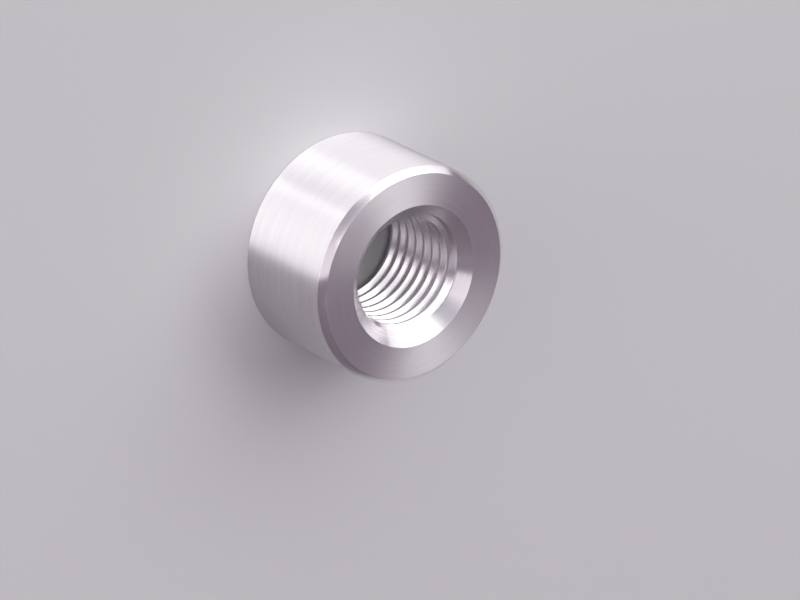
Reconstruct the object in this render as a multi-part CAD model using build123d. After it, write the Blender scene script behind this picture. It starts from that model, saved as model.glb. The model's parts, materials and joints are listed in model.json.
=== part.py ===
from build123d import *
import os
from math import radians, sqrt, tan

# Threaded weld-in boss, turned from round bar in one piece and tapped right through.
#
# The boss stands on its rear face. The origin is the centre of that face, and +Z runs
# along the thread's axis to the front, which has the deep countersink and the chamfered
# rim. The bore is modelled at the thread's minor diameter, as drilled before tapping.

# Driving sizes, in millimetres and degrees
outside_diameter = 25.0
length = 14.0
front_chamfer = 0.7  # 45 degree chamfer on the outer rim of the front face
rear_edge_break = 0.1  # the rear rim is left square, with only its burr taken off

thread_diameter = 14.0  # M14 x 1.5, right-hand
thread_pitch = 1.5
front_lead_in = 1.15  # how far the front countersink opens past the thread, on the radius
rear_lead_in = 0.35  # the same at the rear, where only the burr of tapping is cut away
countersink_angle = 90.0  # included angle of both countersinks

# A 60 degree metric thread cuts five eighths of its sharp height H out of the bore's wall.
THREAD_DEPTH_OF_H = 5 / 8


def minor_radius(diameter, pitch):
    """Radius of the bore at the crests of an internal metric thread."""
    sharp_height = pitch * sqrt(3) / 2
    return diameter / 2 - THREAD_DEPTH_OF_H * sharp_height


def countersink_depth(mouth_radius, bottom_radius):
    """Height of the cone that narrows from the mouth to the bore."""
    return (mouth_radius - bottom_radius) / tan(radians(countersink_angle / 2))


outer_radius = outside_diameter / 2
bore_radius = minor_radius(thread_diameter, thread_pitch)
front_mouth = thread_diameter / 2 + front_lead_in
rear_mouth = thread_diameter / 2 + rear_lead_in
bore_bottom = countersink_depth(rear_mouth, bore_radius)
bore_top = length - countersink_depth(front_mouth, bore_radius)

# Half section of the boss, from the bore's lower edge round the outside and back down it
half_section = [
    (bore_radius, bore_bottom),
    (rear_mouth, 0),
    (outer_radius - rear_edge_break, 0),
    (outer_radius, rear_edge_break),
    (outer_radius, length - front_chamfer),
    (outer_radius - front_chamfer, length),
    (front_mouth, length),
    (bore_radius, bore_top),
]

with BuildPart() as threaded_boss:
    with BuildSketch(Plane.XZ):
        with BuildLine():
            Polyline(*half_section, close=True)
        make_face()
    revolve(axis=Axis.Z)

os.makedirs("parts", exist_ok=True)
export_step(threaded_boss.part, "parts/threaded_boss.step")

print(f"bore radius {bore_radius:.4f} mm, from z {bore_bottom:.4f} to {bore_top:.4f} mm")
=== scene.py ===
import json
from math import copysign, cos, radians, sin, tan, tau

import bmesh
import bpy
from mathutils import Matrix, Vector


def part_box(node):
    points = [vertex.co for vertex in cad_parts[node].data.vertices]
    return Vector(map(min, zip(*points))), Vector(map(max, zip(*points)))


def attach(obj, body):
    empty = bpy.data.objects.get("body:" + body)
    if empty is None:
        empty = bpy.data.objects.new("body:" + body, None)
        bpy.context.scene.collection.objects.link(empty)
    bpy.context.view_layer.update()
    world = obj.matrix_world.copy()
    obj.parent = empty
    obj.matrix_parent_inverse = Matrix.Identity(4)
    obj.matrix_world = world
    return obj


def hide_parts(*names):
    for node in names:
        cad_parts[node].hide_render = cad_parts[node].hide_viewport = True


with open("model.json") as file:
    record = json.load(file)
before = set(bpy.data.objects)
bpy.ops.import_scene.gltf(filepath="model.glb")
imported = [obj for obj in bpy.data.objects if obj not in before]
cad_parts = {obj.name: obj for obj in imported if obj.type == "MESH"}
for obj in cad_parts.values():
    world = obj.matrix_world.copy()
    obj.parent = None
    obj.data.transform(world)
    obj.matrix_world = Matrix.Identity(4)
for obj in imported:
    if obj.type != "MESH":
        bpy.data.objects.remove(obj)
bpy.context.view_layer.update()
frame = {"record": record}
NODE = "threaded_boss"
MM = 0.001

# Sizes, in metres: those that the frame holds are read from it
TOP_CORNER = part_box(NODE)[1]
LENGTH = TOP_CORNER.z
OUTER_RADIUS = TOP_CORNER.x
THREAD_BORE = next(m for m in frame["record"]["mounts"] if m["name"] == "threaded_bore")
BORE_RADIUS = THREAD_BORE["dims"]["r_mm"] * MM
THREAD_RADIUS = 7.0 * MM
THREAD_PITCH = 1.5 * MM
THREAD_PHASE = 0.7  # turns by which the groove is ahead of one that starts at +X
FLANK_ANGLE = radians(30)  # between a flank of the thread and the plane across the axis
ROOT_FLAT = THREAD_PITCH / 8
CREST_FLAT = THREAD_PITCH / 4
FRONT_MOUTH = 8.15 * MM  # the countersinks' radii at the faces
REAR_MOUTH = 7.35 * MM
FRONT_CHAMFER = 0.7 * MM
REAR_EDGE_BREAK = 0.1 * MM
FRONT_CONE_BOTTOM = LENGTH - (FRONT_MOUTH - BORE_RADIUS)
REAR_CONE_TOP = REAR_MOUTH - BORE_RADIUS
EDGE_ROUND = 0.04 * MM  # what deburring leaves on each edge
CHAMFER_ROUND = 0.015 * MM  # between the front chamfer and the outside
CREST_ROUND = 0.04 * MM
ROOT_ROUND = 0.08 * MM

# How the mesh is divided and shaded
SEGMENTS = 256
ARC_STEPS = 3
CLEAR_SHARE = 0.2  # of an even step, which even columns keep from those at a run-out
SAME_ANGLE = 1e-6  # columns closer than this are one
SAME_PLACE = 1e-8  # and so are points
SHARP_ANGLE = radians(35)
FACE_WEIGHT = 90  # 50 is neutral, and above it the larger faces lead the smooth normals


# ---------------------------------------------------------------- the turned body

def rounded(outline):
    """Points along an outline, with an arc at each corner that has a radius.

    The outline is a list of (corner, radius, surface of the span after it), and the result is
    a list of (point, surface of the span after it).
    """
    points = []
    for i, (corner, radius, surface) in enumerate(outline):
        corner = Vector(corner)
        if not radius:
            points.append((corner, surface))
            continue
        back = (Vector(outline[i - 1][0]) - corner).normalized()
        ahead = (Vector(outline[(i + 1) % len(outline)][0]) - corner).normalized()
        half = back.angle(ahead) / 2
        centre = corner + (back + ahead).normalized() * (radius / sin(half))
        start = (corner + back * (radius / tan(half)) - centre).normalized()
        end = (corner + ahead * (radius / tan(half)) - centre).normalized()
        for k in range(ARC_STEPS):
            points.append((centre + start.slerp(end, k / ARC_STEPS) * radius, "edge"))
        points.append((centre + end * radius, surface))
    return points


def outside_outline():
    """Section of all but the bore, as (radius, height), from the front mouth to the rear one.

    The first and last corners only give the mouths' arcs their direction, and are left out.
    """
    outline = [
        ((BORE_RADIUS, FRONT_CONE_BOTTOM), 0, "countersink"),
        ((FRONT_MOUTH, LENGTH), EDGE_ROUND, "face"),
        ((OUTER_RADIUS - FRONT_CHAMFER, LENGTH), EDGE_ROUND, "edge"),
        ((OUTER_RADIUS, LENGTH - FRONT_CHAMFER), CHAMFER_ROUND, "outside"),
        ((OUTER_RADIUS, REAR_EDGE_BREAK), EDGE_ROUND, "edge"),
        ((OUTER_RADIUS - REAR_EDGE_BREAK, 0), EDGE_ROUND, "face"),
        ((REAR_MOUTH, 0), EDGE_ROUND, "countersink"),
        ((BORE_RADIUS, REAR_CONE_TOP), 0, "countersink"),
    ]
    return rounded(outline)[1:-1]


def groove_profile():
    """One groove of the thread as (height, radius) corners, from its lower crest edge up.

    The first and last corners only give the crest's arcs their direction, and are left out.
    """
    flank = (THREAD_RADIUS - BORE_RADIUS) * tan(FLANK_ANGLE)
    top = ROOT_FLAT + 2 * flank
    outline = [
        ((-CREST_FLAT, BORE_RADIUS), 0, "thread"),
        ((0, BORE_RADIUS), CREST_ROUND, "thread"),
        ((flank, THREAD_RADIUS), ROOT_ROUND, "thread"),
        ((flank + ROOT_FLAT, THREAD_RADIUS), ROOT_ROUND, "thread"),
        ((top, BORE_RADIUS), CREST_ROUND, "thread"),
        ((top + CREST_FLAT, BORE_RADIUS), 0, "thread"),
    ]
    return [point for point, _ in rounded(outline)[1:-1]]


class Bore:
    """The tapped bore: at each angle round it, a chain of straight spans up its wall.

    A span is ("rear",) or ("front",) where it lies on a countersink, and (turn, k) where it
    joins corner k of the thread's groove to the next, on that turn of the helix.
    """

    # Slope of each countersink's wall, radius over height, and its radius at height 0
    CONES = {
        "rear": (-1.0, BORE_RADIUS + REAR_CONE_TOP),
        "front": (1.0, BORE_RADIUS - FRONT_CONE_BOTTOM),
    }
    FIRST_TURN = -2  # starts below the rear face at every angle

    def __init__(self):
        self.groove = groove_profile()
        outline = outside_outline()
        self.rear_mouth = (outline[-1][0].y, outline[-1][0].x)
        self.front_mouth = (outline[0][0].y, outline[0][0].x)

    def corner(self, turn, k, angle):
        """Height and radius of corner k of the groove at that angle."""
        z, r = self.groove[k % len(self.groove)]
        turn += k // len(self.groove)
        return z + THREAD_PITCH * (turn + angle / tau + THREAD_PHASE), r

    def line(self, span, angle):
        """Slope of a span's line, radius over height, and its radius at height 0."""
        if span[0] in self.CONES:
            return self.CONES[span[0]]
        turn, k = span
        (z0, r0), (z1, r1) = self.corner(turn, k, angle), self.corner(turn, k + 1, angle)
        slope = (r1 - r0) / (z1 - z0)
        return slope, r0 - slope * z0

    def surface(self, span):
        """Which surface a span is part of: the crest is the flat from one groove to the next."""
        if span[0] in self.CONES:
            return "countersink"
        return "crest" if span[1] == len(self.groove) - 1 else "thread"

    def meet(self, a, b, angle):
        """Height and radius at which two spans' lines cross."""
        (slope_a, r_a), (slope_b, r_b) = self.line(a, angle), self.line(b, angle)
        z = (r_b - r_a) / (slope_a - slope_b)
        return z, slope_a * z + r_a

    def cone(self, z):
        """The countersink that is wider at that height, and its radius there."""
        sides = [(name, r + slope * z) for name, (slope, r) in self.CONES.items()]
        return max(sides, key=lambda side: side[1])

    def chain(self, angle):
        """Spans from the rear mouth to the front one, at an angle where none starts or ends."""
        spans = []
        turn = self.FIRST_TURN
        while True:
            for k in range(len(self.groove)):
                (z0, r0), (z1, r1) = self.corner(turn, k, angle), self.corner(turn, k + 1, angle)
                side0, cone0 = self.cone(z0)
                side1, cone1 = self.cone(z1)
                if r0 <= cone0 and (not spans or spans[-1][0] != side0):
                    spans.append((side0,))
                if r0 > cone0 or r1 > cone1:
                    spans.append((turn, k))
                if r1 <= cone1 and (not spans or spans[-1][0] != side1):
                    spans.append((side1,))
                if z0 > LENGTH:
                    return spans
            turn += 1

    def changes(self):
        """Angles at which a corner of the thread runs out of a countersink's cone."""
        found = []
        for z, r in self.groove:
            for at in (FRONT_CONE_BOTTOM + r - BORE_RADIUS, REAR_CONE_TOP - (r - BORE_RADIUS)):
                turns = (at - z) / THREAD_PITCH - THREAD_PHASE
                found.append(tau * (turns % 1))
        return found


def column_angles(bore):
    """Angles of the mesh's columns: even ones, and each at which the bore's chain changes."""
    changes = bore.changes()
    clear = CLEAR_SHARE * tau / SEGMENTS
    even = [tau * i / SEGMENTS for i in range(SEGMENTS)]
    even = [angle for angle in even if all(abs(angle - change) > clear for change in changes)]
    angles = []
    for angle in sorted(changes + even):
        if not angles or angle - angles[-1] > SAME_ANGLE:
            angles.append(angle)
    return angles


class ColumnMesh:
    """Points in columns at set angles, shared where two spans end at the same place."""

    def __init__(self, angles):
        self.angles = angles
        self.points = []
        self.index = {}
        self.columns = [{} for _ in angles]

    def vertex(self, column, z, r):
        """Index of the column's point at that height and radius, which is added if it's new."""
        key = (column, round(z / SAME_PLACE), round(r / SAME_PLACE))
        for dz in (-1, 0, 1):
            for dr in (-1, 0, 1):
                found = self.index.get((column, key[1] + dz, key[2] + dr))
                if found is not None:
                    return found
        self.index[key] = len(self.points)
        self.points.append((r * cos(self.angles[column]), r * sin(self.angles[column]), z))
        return self.index[key]

    def bore_vertex(self, column, z, r):
        """The same for a point of the bore, whose place up the wall is kept."""
        vertex = self.vertex(column, z, r)
        self.columns[column][vertex] = z
        return vertex

    def between(self, column, low, high):
        """The bore's points in a column from one to another, the ends included."""
        ordered = sorted(self.columns[column], key=self.columns[column].get)
        return ordered[ordered.index(low):ordered.index(high) + 1]


def boss_mesh():
    """Points, faces and each face's surface for the whole body, as one closed mesh."""
    bore = Bore()
    outline = outside_outline()
    angles = column_angles(bore)
    count = len(angles)
    mesh = ColumnMesh(angles)
    strips = []
    for i in range(count):
        j = (i + 1) % count
        following = angles[j] + (tau if j == 0 else 0)
        chain = bore.chain((angles[i] + following) / 2)
        sides = []
        for column, angle in ((i, angles[i]), (j, following)):
            joints = [bore.meet(a, b, angle) for a, b in zip(chain, chain[1:])]
            joints = [bore.rear_mouth] + joints + [bore.front_mouth]
            sides.append([mesh.bore_vertex(column, z, r) for z, r in joints])
        strips.append((i, j, chain, *sides))
    faces, surfaces = [], []
    for i, j, chain, left, right in strips:
        for k, span in enumerate(chain):
            up = mesh.between(i, left[k], left[k + 1])
            down = mesh.between(j, right[k], right[k + 1])[::-1]
            if len(set(up + down)) > 2:
                faces.append(up + down)
                surfaces.append(bore.surface(span))
    outer = [[mesh.vertex(column, p.y, p.x) for p, _ in outline] for column in range(count)]
    for i in range(count):
        j = (i + 1) % count
        for k, (_, surface) in enumerate(outline[:-1]):
            faces.append((outer[i][k], outer[i][k + 1], outer[j][k + 1], outer[j][k]))
            surfaces.append(surface)
    return mesh.points, faces, surfaces


def mesh_object(name, points, faces):
    """A new object of these points and faces, linked to the scene."""
    mesh = bpy.data.meshes.new(name)
    mesh.from_pydata(points, [], faces)
    mesh.update()
    obj = bpy.data.objects.new(name, mesh)
    bpy.context.scene.collection.objects.link(obj)
    return obj


def set_normals(body, surfaces):
    """Smooth normals led by the larger faces, and exact ones on all that was turned."""
    weighted = body.modifiers.new("weighted_normals", "WEIGHTED_NORMAL")
    weighted.keep_sharp = True
    weighted.weight = FACE_WEIGHT
    mesh = body.data
    smooth = body.evaluated_get(bpy.context.evaluated_depsgraph_get()).to_mesh()
    normals = [corner.vector.copy() for corner in smooth.corner_normals]
    for polygon, surface in zip(mesh.polygons, surfaces):
        if surface in ("thread", "crest"):
            continue
        for corner in polygon.loop_indices:
            outward = mesh.vertices[mesh.loops[corner].vertex_index].co.xy.normalized()
            normal = normals[corner] if surface == "edge" else polygon.normal
            radial = copysign(normal.xy.length, normal.xy.dot(outward))
            normals[corner] = Vector((*(outward * radial), normal.z)).normalized()
    body.modifiers.clear()
    mesh.normals_split_custom_set(normals)


def turned_body():
    """The boss as the one piece of the scene, and the surface that each of its faces is on."""
    points, faces, surfaces = boss_mesh()
    body = mesh_object("turned_body", points, faces)
    bm = bmesh.new()
    bm.from_mesh(body.data)
    bmesh.ops.recalc_face_normals(bm, faces=bm.faces)
    for face in bm.faces:
        face.smooth = True
    for edge in bm.edges:
        edge.smooth = edge.calc_face_angle(0) < SHARP_ANGLE
    bm.to_mesh(body.data)
    bm.free()
    set_normals(body, surfaces)
    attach(body, "root")
    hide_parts(NODE)
    return body, surfaces


# ---------------------------------------------------------------- finishes

ALUMINIUM_LIGHT = (0.95, 0.925, 0.945, 1)
ALUMINIUM_DARK = (0.66, 0.635, 0.665, 1)
SLANT = 0.618  # the share of a step in radius that counts as travel, next to a step in height
DRIFT = 90  # how often the lines change along their length, per metre
PATCHES = 180  # how often the patches change, per metre
NOISE_LOW, NOISE_HIGH = 0.3, 0.7  # where most of a noise's values lie
TONE_SHARES = (0.4, 0.4, 0.2)  # of the bands, the lines and the patches in the colour
BAND_DEPTH = 3  # of the bands' bumps, in depths of a line
QUARTER_TURN = 0.25  # from along the lines to across them

# For each surface: its finish's name, roughness and how much that varies, anisotropy, spacing
# and depth of the lines, spacing of the bands, and contrast
FINISHES = {
    "outside": ("satin_outside", 0.46, 0.012, 1.0, 0.22 * MM, 0.0010 * MM, 0.7 * MM, 0.4),
    "face": ("turned_face", 0.42, 0.02, 0.78, 0.25 * MM, 0.0012 * MM, 1.2 * MM, 0.5),
    "edge": ("cut_edge", 0.18, 0.015, 0.8, 0.10 * MM, 0.0006 * MM, 0.5 * MM, 0.4),
    "countersink": ("cut_countersink", 0.23, 0.02, 0.8, 0.15 * MM, 0.0008 * MM, 0.6 * MM, 0.4),
    "thread": ("cut_thread", 0.2, 0.03, 0.5, 0.12 * MM, 0.0030 * MM, 0.4 * MM, 0.8),
    "crest": ("drilled_crest", 1.0, 0.0, 0.0, 0.12 * MM, 0.0020 * MM, 0.4 * MM, 0.6),
}


class Graph:
    """Adds linked nodes to a material's or a world's tree."""

    def __init__(self, owner):
        owner.use_nodes = True
        self.nodes, self.links = owner.node_tree.nodes, owner.node_tree.links

    def add(self, kind, inputs=(), **settings):
        """A node with these settings, and with its inputs set or linked."""
        node = self.nodes.new("ShaderNode" + kind)
        for name, value in settings.items():
            setattr(node, name, value)
        for name, value in dict(inputs).items():
            self.put(node.inputs[name], value)
        return node

    def put(self, socket, value):
        """Links another node's output to a socket, or sets the socket to a constant."""
        if isinstance(value, bpy.types.NodeSocket):
            self.links.new(value, socket)
        else:
            socket.default_value = value

    def math(self, operation, *values):
        """Result of a Math node on constants or on other nodes' outputs."""
        return self.add("Math", enumerate(values), operation=operation).outputs[0]

    def noise(self, place, scale, detail, **inputs):
        """Value of a noise texture."""
        inputs = {"Vector": place, "Scale": scale, "Detail": detail, **inputs}
        return self.add("TexNoise", inputs).outputs["Fac"]

    def spread(self, value, low, high):
        """A noise's value, with the range where it mostly lies stretched over low to high."""
        source = {"Value": value, "From Min": NOISE_LOW, "From Max": NOISE_HIGH}
        return self.add("MapRange", {**source, "To Min": low, "To Max": high}).outputs["Result"]


def turned_metal(name, roughness, variation, anisotropy, line, line_depth, band, contrast):
    """Machined aluminium, whose lines and bands run round the axis.

    They stretch its highlights across them. line and band are the spacing of the tool's marks
    and of wider streaks, in metres. contrast is how much of the way from the light to the dark
    colour they go.
    """
    material = bpy.data.materials.new(name)
    graph = Graph(material)
    place = graph.add("TexCoord").outputs["Object"]
    axes = graph.add("SeparateXYZ", {"Vector": place}).outputs
    flat = graph.add("CombineXYZ", {"X": axes["X"], "Y": axes["Y"]}).outputs["Vector"]
    radius = graph.add("VectorMath", {0: flat}, operation="LENGTH").outputs["Value"]
    travel = graph.math("MULTIPLY_ADD", radius, SLANT, axes["Z"])

    def streaks(spacing, detail):
        """Noise that changes quickly along the tool's travel and slowly round the axis."""
        x = graph.math("MULTIPLY", axes["X"], DRIFT)
        y = graph.math("MULTIPLY", axes["Y"], DRIFT)
        z = graph.math("DIVIDE", travel, spacing)
        stretched = graph.add("CombineXYZ", {"X": x, "Y": y, "Z": z}).outputs["Vector"]
        return graph.noise(stretched, 1.0, detail, Roughness=0.6)

    lines = streaks(line, 2)
    bands = streaks(band, 3)
    patches = graph.noise(place, PATCHES, 3)

    def total(ranges):
        """Sum of the bands, the lines and the patches, each spread over its own range."""
        spreads = [graph.spread(n, *ends) for n, ends in zip((bands, lines, patches), ranges)]
        return graph.math("ADD", graph.math("ADD", spreads[0], spreads[1]), spreads[2])

    tone = total([(0.0, share * contrast) for share in TONE_SHARES])
    tints = {"Factor": tone, "A": ALUMINIUM_LIGHT, "B": ALUMINIUM_DARK}
    colour = graph.add("Mix", tints, data_type="RGBA")
    worn = total([(-variation, variation)] * 3)
    shader = graph.nodes["Principled BSDF"]
    graph.put(shader.inputs["Base Color"], colour.outputs["Result"])
    graph.put(shader.inputs["Metallic"], 1.0)
    graph.put(shader.inputs["Roughness"], graph.math("ADD", worn, roughness))
    graph.put(shader.inputs["Anisotropic"], anisotropy)
    graph.put(shader.inputs["Anisotropic Rotation"], QUARTER_TURN)
    tangent = graph.add("Tangent", direction_type="RADIAL", axis="Z")
    graph.put(shader.inputs["Tangent"], tangent.outputs["Tangent"])
    wide = {"Height": bands, "Distance": BAND_DEPTH * line_depth, "Strength": 1.0}
    fine = {"Height": lines, "Distance": line_depth, "Strength": 1.0}
    wide_bump = graph.add("Bump", wide).outputs["Normal"]
    fine_bump = graph.add("Bump", {**fine, "Normal": wide_bump}).outputs["Normal"]
    graph.put(shader.inputs["Normal"], fine_bump)
    return material


def finish_body(body, surfaces):
    """Gives each face of the body the finish of its surface."""
    body.data.materials.clear()
    for finish in FINISHES.values():
        body.data.materials.append(turned_metal(*finish))
    order = list(FINISHES)
    for polygon, surface in zip(body.data.polygons, surfaces):
        polygon.material_index = order.index(surface)


# ---------------------------------------------------------------- camera, light and floor

# Directions are given as an azimuth and an elevation in degrees. Azimuth 0 is -X and 90 is -Y.

FOCAL_PX = 5512  # focal length in pixels of the 800 x 600 picture
PICTURE = (800, 600)
TILT = radians(41.43)  # between the line of sight and the boss's axis
ROLL = radians(26.56)
FRONT_PX = (414.23, 276.78)  # where the centre of the front face is seen
DISTANCE = 48.18 * OUTER_RADIUS  # of the front face's centre, along the direction of view
SENSOR = 36  # width in mm
CLIP = (0.01, 100)  # what is nearer or farther than this is not seen

# Each lamp's azimuth, elevation, width and height in metres, and power in watts
LAMPS = {
    "key": (4, 40, 0.9, 0.6, 2.3),
    "face_panel": (-25, 60, 0.6, 0.4, 1.6),
    "back_panel": (175, 53, 0.6, 0.3, 0.22),
    "side_panel": (10, 21, 1.76, 0.6, 2.1),
    "top_panel": (60, 68, 0.9, 0.6, 1.5),
    "low_panel_a": (98, 4.5, 1.14, 0.16, 5.0),
    "low_panel_b": (53, 4.5, 0.8, 0.16, 2.5),
}

# The surroundings, by azimuth: pale panels with a gap between them, and a dim room beyond
TENT = (0.50, 0.475, 0.50)
ROOM = (0.21, 0.172, 0.215)
SURROUNDINGS = [
    (-180, (0.18, 0.146, 0.176)),
    (-140, (0.15, 0.122, 0.147)),
    (-115, ROOM),
    (-36, ROOM),
    (-28, TENT),
    (48, TENT),
    (54, (0.42, 0.40, 0.45)),
    (60, (0.39, 0.37, 0.42)),
    (71, (0.35, 0.33, 0.385)),
    (82, (0.44, 0.385, 0.435)),
    (105, (0.77, 0.70, 0.74)),
    (129, (0.86, 0.79, 0.84)),
    (131, (0.24, 0.20, 0.25)),
    (147, (0.20, 0.16, 0.20)),
    (180, (0.18, 0.146, 0.176)),
]

FLOOR_REACH = 3  # from its middle to each side
FLOOR_COLOUR = (0.62, 0.62, 0.63, 1)
FLOOR_ROUGHNESS = 0.8


def toward(azimuth, elevation):
    """Unit vector in that direction."""
    a, e = radians(azimuth), radians(elevation)
    return Vector((-cos(a) * cos(e), -sin(a) * cos(e), sin(e)))


def add_camera():
    """A camera that sees the front face's centre at FRONT_PX, at the given tilt and roll."""
    axis = Vector((sin(TILT) * cos(ROLL), sin(TILT) * sin(ROLL), -cos(TILT)))
    across = axis.cross(Vector((0, 0, 1))).normalized()
    turn = Matrix((-across, -axis.cross(across), axis))
    off_centre = [(FRONT_PX[i] - PICTURE[i] / 2) / FOCAL_PX for i in (0, 1)]
    eye = Vector((0, 0, LENGTH)) - turn @ Vector((*off_centre, 1)) * DISTANCE
    data = bpy.data.cameras.new("camera")
    data.sensor_width = SENSOR
    data.lens = FOCAL_PX * SENSOR / PICTURE[0]
    data.clip_start, data.clip_end = CLIP
    camera = bpy.data.objects.new("camera", data)
    facing = (turn @ Matrix.Diagonal((1, -1, -1))).to_4x4()
    camera.matrix_world = Matrix.Translation(eye) @ facing
    bpy.context.scene.collection.objects.link(camera)
    bpy.context.scene.camera = camera


def add_softbox(name, azimuth, elevation, width, height, watts):
    """A rectangular lamp one metre away, facing the boss."""
    light = bpy.data.lights.new(name, "AREA")
    light.shape = "RECTANGLE"
    light.size, light.size_y = width, height
    light.energy = watts
    obj = bpy.data.objects.new(name, light)
    obj.location = toward(azimuth, elevation)
    obj.rotation_mode = "QUATERNION"
    obj.rotation_quaternion = obj.location.to_track_quat("Z", "Y")
    obj.visible_camera = False
    bpy.context.scene.collection.objects.link(obj)


def add_surroundings():
    """A world coloured by azimuth alone."""
    world = bpy.data.worlds.new("studio")
    graph = Graph(world)
    direction = graph.add("TexCoord").outputs["Generated"]
    axes = graph.add("SeparateXYZ", {"Vector": direction}).outputs
    back_x = graph.math("MULTIPLY", axes["X"], -1.0)
    back_y = graph.math("MULTIPLY", axes["Y"], -1.0)
    azimuth = graph.math("ARCTAN2", back_y, back_x)
    share = graph.math("MULTIPLY_ADD", azimuth, 1 / tau, 0.5)
    ramp = graph.add("ValToRGB", {"Fac": share})
    stops = ramp.color_ramp.elements
    while len(stops) < len(SURROUNDINGS):
        stops.new(1.0)
    for stop, (degrees, colour) in zip(stops, SURROUNDINGS):
        stop.position = (degrees + 180) / 360
        stop.color = (*colour, 1)
    graph.put(graph.nodes["Background"].inputs["Color"], ramp.outputs["Color"])
    bpy.context.scene.world = world


def add_floor():
    """A square floor, level with the boss's rear face."""
    signs = [(-1, -1), (1, -1), (1, 1), (-1, 1)]
    corners = [(x * FLOOR_REACH, y * FLOOR_REACH, 0) for x, y in signs]
    floor = mesh_object("floor", corners, [(0, 1, 2, 3)])
    material = bpy.data.materials.new("floor")
    graph = Graph(material)
    shader = graph.nodes["Principled BSDF"]
    graph.put(shader.inputs["Base Color"], FLOOR_COLOUR)
    graph.put(shader.inputs["Roughness"], FLOOR_ROUGHNESS)
    floor.data.materials.append(material)


finish_body(*turned_body())
add_camera()
for lamp, settings in LAMPS.items():
    add_softbox(lamp, *settings)
add_surroundings()
add_floor()
bpy.context.scene.view_settings.view_transform = "Standard"
